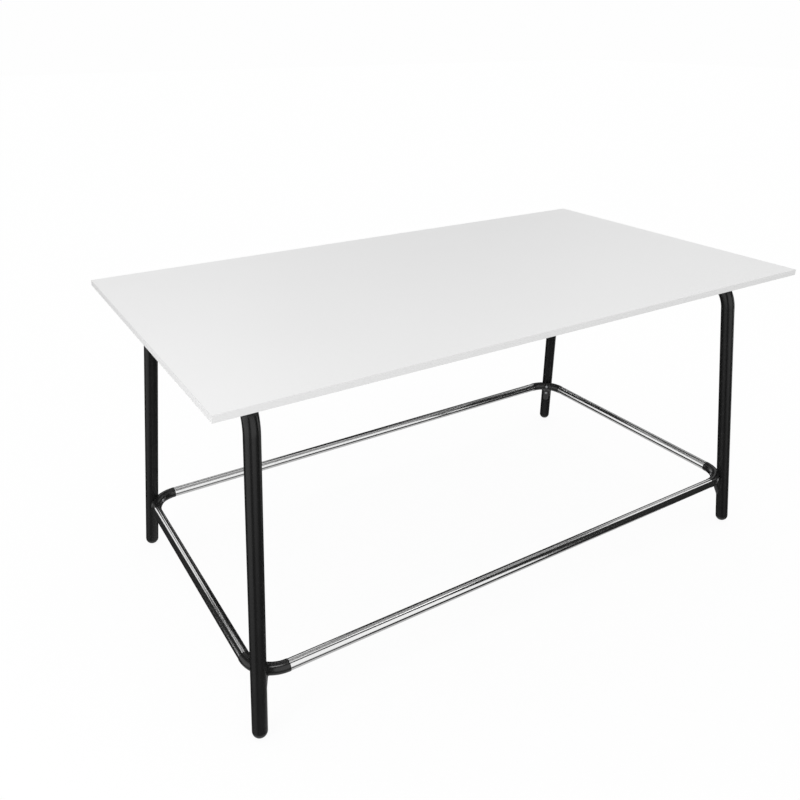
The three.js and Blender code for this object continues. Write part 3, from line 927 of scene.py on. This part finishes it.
def crossbar_groove(piece, x, low, high):
    """Cut the crossbar's round out of a piece under the board."""
    axis = Vector((x, 0, crossbar_height))
    start, end = axis + back * (low.y - CUT_SPARE), axis + back * (high.y + CUT_SPARE)
    cut(piece, rod(LEG_RADIUS + FIT, start, end))


for name in nodes_named("saddle_plate"):
    plate = block(name)
    low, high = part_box(name)
    with editing(plate):
        pick("edges", runs_along(up))
        bpy.ops.mesh.bevel(offset=PLATE_CORNER, segments=PLATE_CORNER_STEPS)
        pick("edges", level_with(low, up))
        bpy.ops.mesh.bevel(offset=PLATE_EDGE, segments=RIM_STEPS)
    crossbar_groove(plate, (low.x + high.x) / 2, low, high)
    smooth(plate)
    hand_over(plate, coat_black)
print(len(nodes_named("saddle_plate")), "saddle plates")

# %% Stiffeners and end blocks
STIFFENER_WALL = 2 * MILLIMETRE
STIFFENER_CORNER = 2.5 * MILLIMETRE
ACCESS_RADIUS = 6 * MILLIMETRE

for side in ("back", "front"):
    name = f"stiffener_{side}"
    rail = block(name)
    low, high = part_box(name)
    with editing(rail):
        pick("faces", lambda face: abs(face.normal.x) > SAME_WAY)
        bpy.ops.mesh.delete(type="ONLY_FACE")
        pick("edges", runs_along(right))
        bpy.ops.mesh.bevel(offset=STIFFENER_CORNER, segments=CORNER_STEPS)
        tidy_mesh()
    apply_modifier(rail, "SOLIDIFY", thickness=STIFFENER_WALL, offset=-1, use_even_offset=True)
    for end in (low.x, high.x):
        crossbar_groove(rail, end, low, high)
    for screw_name in nodes_named(f"stiffener_screw_{side}"):
        screw_low, screw_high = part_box(screw_name)
        hole = (screw_low + screw_high) / 2
        hole.z = low.z
        depth = up * (2 * STIFFENER_WALL)
        cut(rail, rod(ACCESS_RADIUS, hole - depth, hole + depth))
    smooth(rail, FINE_CREASE)
    hand_over(rail, coat_black)
    print(name, len(rail.data.polygons), "faces")

for name in nodes_named("end_block"):
    refinish(name, zinc)

# %% [markdown]
# ## Floor and room
#
# The table stands on a plain white floor in soft, even studio light. The picture is white all
# round, so the floor glows for rays that come straight from the camera, and only a small share of
# it is shaded; that share keeps the table's faint shadow. The room works the same way: white to the
# camera, and an even light on everything matte. It isn't sampled as a lamp, because then it
# couldn't tell the rays apart.

# %% Floor
FLOOR_SIZE = 60
FLOOR_DROP = 0.1 * MILLIMETRE
FLOOR_GLOW = 0.93
FLOOR_COLOUR = (0.9, 0.9, 0.9, 1)


def staged(name, material):
    """Name what was just added and give it a material. It belongs to the picture, not to the
    table."""
    thing = bpy.context.object
    thing.name = thing.data.name = name
    bpy.ops.object.transform_apply(location=True, rotation=True, scale=True)
    thing.data.materials.append(material)
    return thing


floor_white = bpy.data.materials.new("floor_white")
floor_white.use_nodes = True
ground = Nodes(floor_white.node_tree)
seen = ground.light_path("Is Camera Ray")
shaded = ground.node("ShaderNodeBsdfDiffuse", {}, {"Color": FLOOR_COLOUR})
glow = ground.node("ShaderNodeEmission", {}, {"Strength": 1.0})
ground.show(ground.node("ShaderNodeMixShader", {}, {"Fac": FLOOR_GLOW * seen, 1: shaded, 2: glow}))

clear_selection()
bpy.ops.mesh.primitive_plane_add(size=FLOOR_SIZE, location=(0, 0, -FLOOR_DROP))
floor = staged("floor", floor_white)
floor.visible_glossy = False
print("floor", tuple(floor.dimensions))

# %% Room
ROOM_SEEN = 0.99
ROOM_LIGHT = 1.05
ROOM_IN_GLOSS = 0.02

world = bpy.data.worlds.new("studio")
bpy.context.scene.world = world
world.use_nodes = True
world.cycles.sampling_method = "NONE"
room = Nodes(world.node_tree)
to_camera = room.light_path("Is Camera Ray")
to_gloss = room.light_path("Is Glossy Ray")
on_things = ROOM_LIGHT * (1 - to_gloss) + ROOM_IN_GLOSS * to_gloss
backdrop = world.node_tree.nodes["Background"]
room.feed(backdrop.inputs["Color"], (1, 1, 1, 1))
room.feed(backdrop.inputs["Strength"], ROOM_SEEN * to_camera + on_things * (1 - to_camera))
print("room light", ROOM_LIGHT, "in", len(world.node_tree.nodes), "nodes")

# %% [markdown]
# ## What the metal reflects
#
# Polished bars and satin black show the room around them. In an even white room the bars would be
# as white as the floor and the legs a flat grey. A studio is dark between its soft boxes, and that
# gives metal its bands and a black tube its streaks. So rays that come off a glossy surface see a
# nearly dark room with bright panels in it, all far away, so that it doesn't matter which piece
# they are seen from. The panels light nothing themselves. Walls stand upright, discs lie level, and
# a few of them are small and strong, as lamps are, and make the highlights on the elbows.

# %% Making a panel
PANEL_DISTANCE = 25
DISC_SIDES = 48


def panel(name, strength):
    """Make what was just added a bright panel that shows only in reflections."""
    material = bpy.data.materials.new(name)
    material.use_nodes = True
    nodes = Nodes(material.node_tree)
    nodes.show(nodes.node("ShaderNodeEmission", {}, {"Strength": strength}))
    made = staged(name, material)
    made.visible_camera = made.visible_diffuse = made.visible_shadow = False
    return made


def wall(name, left_edge, right_edge, lower_edge, upper_edge, strength):
    """An upright panel that fills an angle of the room. Angles across count to the right of
    straight out from the front of the table, and angles up and down count from the horizon."""
    turn = math.radians((left_edge + right_edge) / 2)
    away = Vector((math.sin(turn), -math.cos(turn), 0))
    width = 2 * PANEL_DISTANCE * math.tan(math.radians(right_edge - left_edge) / 2)
    bottom = PANEL_DISTANCE * math.tan(math.radians(lower_edge))
    top = PANEL_DISTANCE * math.tan(math.radians(upper_edge))
    place = away * PANEL_DISTANCE + up * ((bottom + top) / 2)
    clear_selection()
    bpy.ops.mesh.primitive_plane_add(size=1, location=place, rotation=facing(-away))
    bpy.context.object.scale = (width, top - bottom, 1)
    panel(name, strength)


def disc(name, place, radius, strength):
    """A round panel that lies level, above or below the table."""
    clear_selection()
    bpy.ops.mesh.primitive_circle_add(
        vertices=DISC_SIDES, radius=radius, location=place, fill_type="NGON")
    panel(name, strength)


# %% Set up the panels
# Name, left and right edge, lower and upper edge (degrees), strength.
WALLS = [
    ("panel_front", -30, 34.5, -13, 50, 0.93),
    ("panel_front_low", -24, 20, -21, -13, 0.42),
    ("panel_front_lower", -24, 20, -30, -21, 0.18),
    ("panel_left", -132.5, -56, -13, 35, 0.95),
    ("panel_left_low", -118, -56, -24, -13, 0.6),
    ("panel_left_lower", -118, -56, -36, -24, 0.28),
    ("panel_back", 160, 201, 22, 40.4, 0.86),
    ("panel_back_high", 187, 196, 43.5, 49, 0.9),
    ("panel_back_low", 188, 205, -6, 14, 0.6),
    ("panel_right", 72, 108, 25, 52, 1.0),
    ("panel_right_low", 70, 125, -32, -14, 0.38),
    ("panel_right_far", 108, 135, 18, 32, 0.65),
    ("panel_right_high", 108, 138, 32, 52, 0.25),
    ("panel_far", 126, 158, 4, 15, 0.05),
    ("lamp_back", 168, 178, 43, 50, 2.2),
    ("lamp_right", 70, 82, -14, 8, 1.7),
]
# Name, place and radius (metres), strength.
DISCS = [
    ("panel_above", (0, 0, PANEL_DISTANCE), 12, 0.7),
    ("panel_above_right", (10.6, -4.1, PANEL_DISTANCE), 3, 2.2),
    ("panel_below", (0, 0, -PANEL_DISTANCE), 25, 0.5),
    ("lamp_above", (-3.8, -4.5, 24), 5.3, 4.8),
]

for row in WALLS:
    wall(*row)
for row in DISCS:
    disc(*row)
print(len(WALLS), "walls and", len(DISCS), "discs, seen only in reflections")

# %% [markdown]
# The elbows at the right end have a soft highlight on the inner side of their bend. It comes from a
# lamp that stands low behind that end. The polished bars would show the same lamp as a white
# stripe, so it is kept off them: light linking names the pieces that may see it, much as a card
# shades a lamp in a studio.

# %% Low lamp for two elbows
LOW_LAMP_PLACE = (0.9, 1.6, 0.44)
LOW_LAMP_SIZE = (0.8, 0.84, 1)
LOW_LAMP_STRENGTH = 2.8

clear_selection()
bpy.ops.mesh.primitive_plane_add(size=1, location=LOW_LAMP_PLACE, rotation=facing(-back))
bpy.context.object.scale = LOW_LAMP_SIZE
low_lamp = panel("low_lamp", LOW_LAMP_STRENGTH)

clear_selection()
for node in ("elbow_front_right", "elbow_back_right"):
    bpy.data.objects[node + FINISHED].select_set(True)
bpy.context.view_layer.objects.active = low_lamp
bpy.ops.object.light_linking_receivers_link(link_state="INCLUDE")

# %% [markdown]
# ## Side light
#
# One soft lamp stands off the front left corner and lifts the left edge of the top, so that the
# thin board reads as white from that end. It is round and large, so its shadow has no hard border.

# %% Side light
SIDE_LIGHT_PLACE = (-2.4, -0.9, 1.1)
SIDE_LIGHT_TARGET = Vector((-0.9, -0.5, 0.8))
SIDE_LIGHT_SIZE = 0.9
SIDE_LIGHT_POWER = 9

bpy.ops.object.light_add(type="AREA", location=SIDE_LIGHT_PLACE)
side_light = bpy.context.object
side_light.name = "side_light"
side_light.rotation_euler = facing(side_light.location - SIDE_LIGHT_TARGET)
side_light.data.shape = "DISK"
side_light.data.size = SIDE_LIGHT_SIZE
side_light.data.energy = SIDE_LIGHT_POWER
side_light.visible_glossy = False
print("side light of", SIDE_LIGHT_POWER, "W at", tuple(side_light.location))

# %% Plain colours
bpy.context.scene.view_settings.view_transform = "Standard"
print("view transform", bpy.context.scene.view_settings.view_transform)
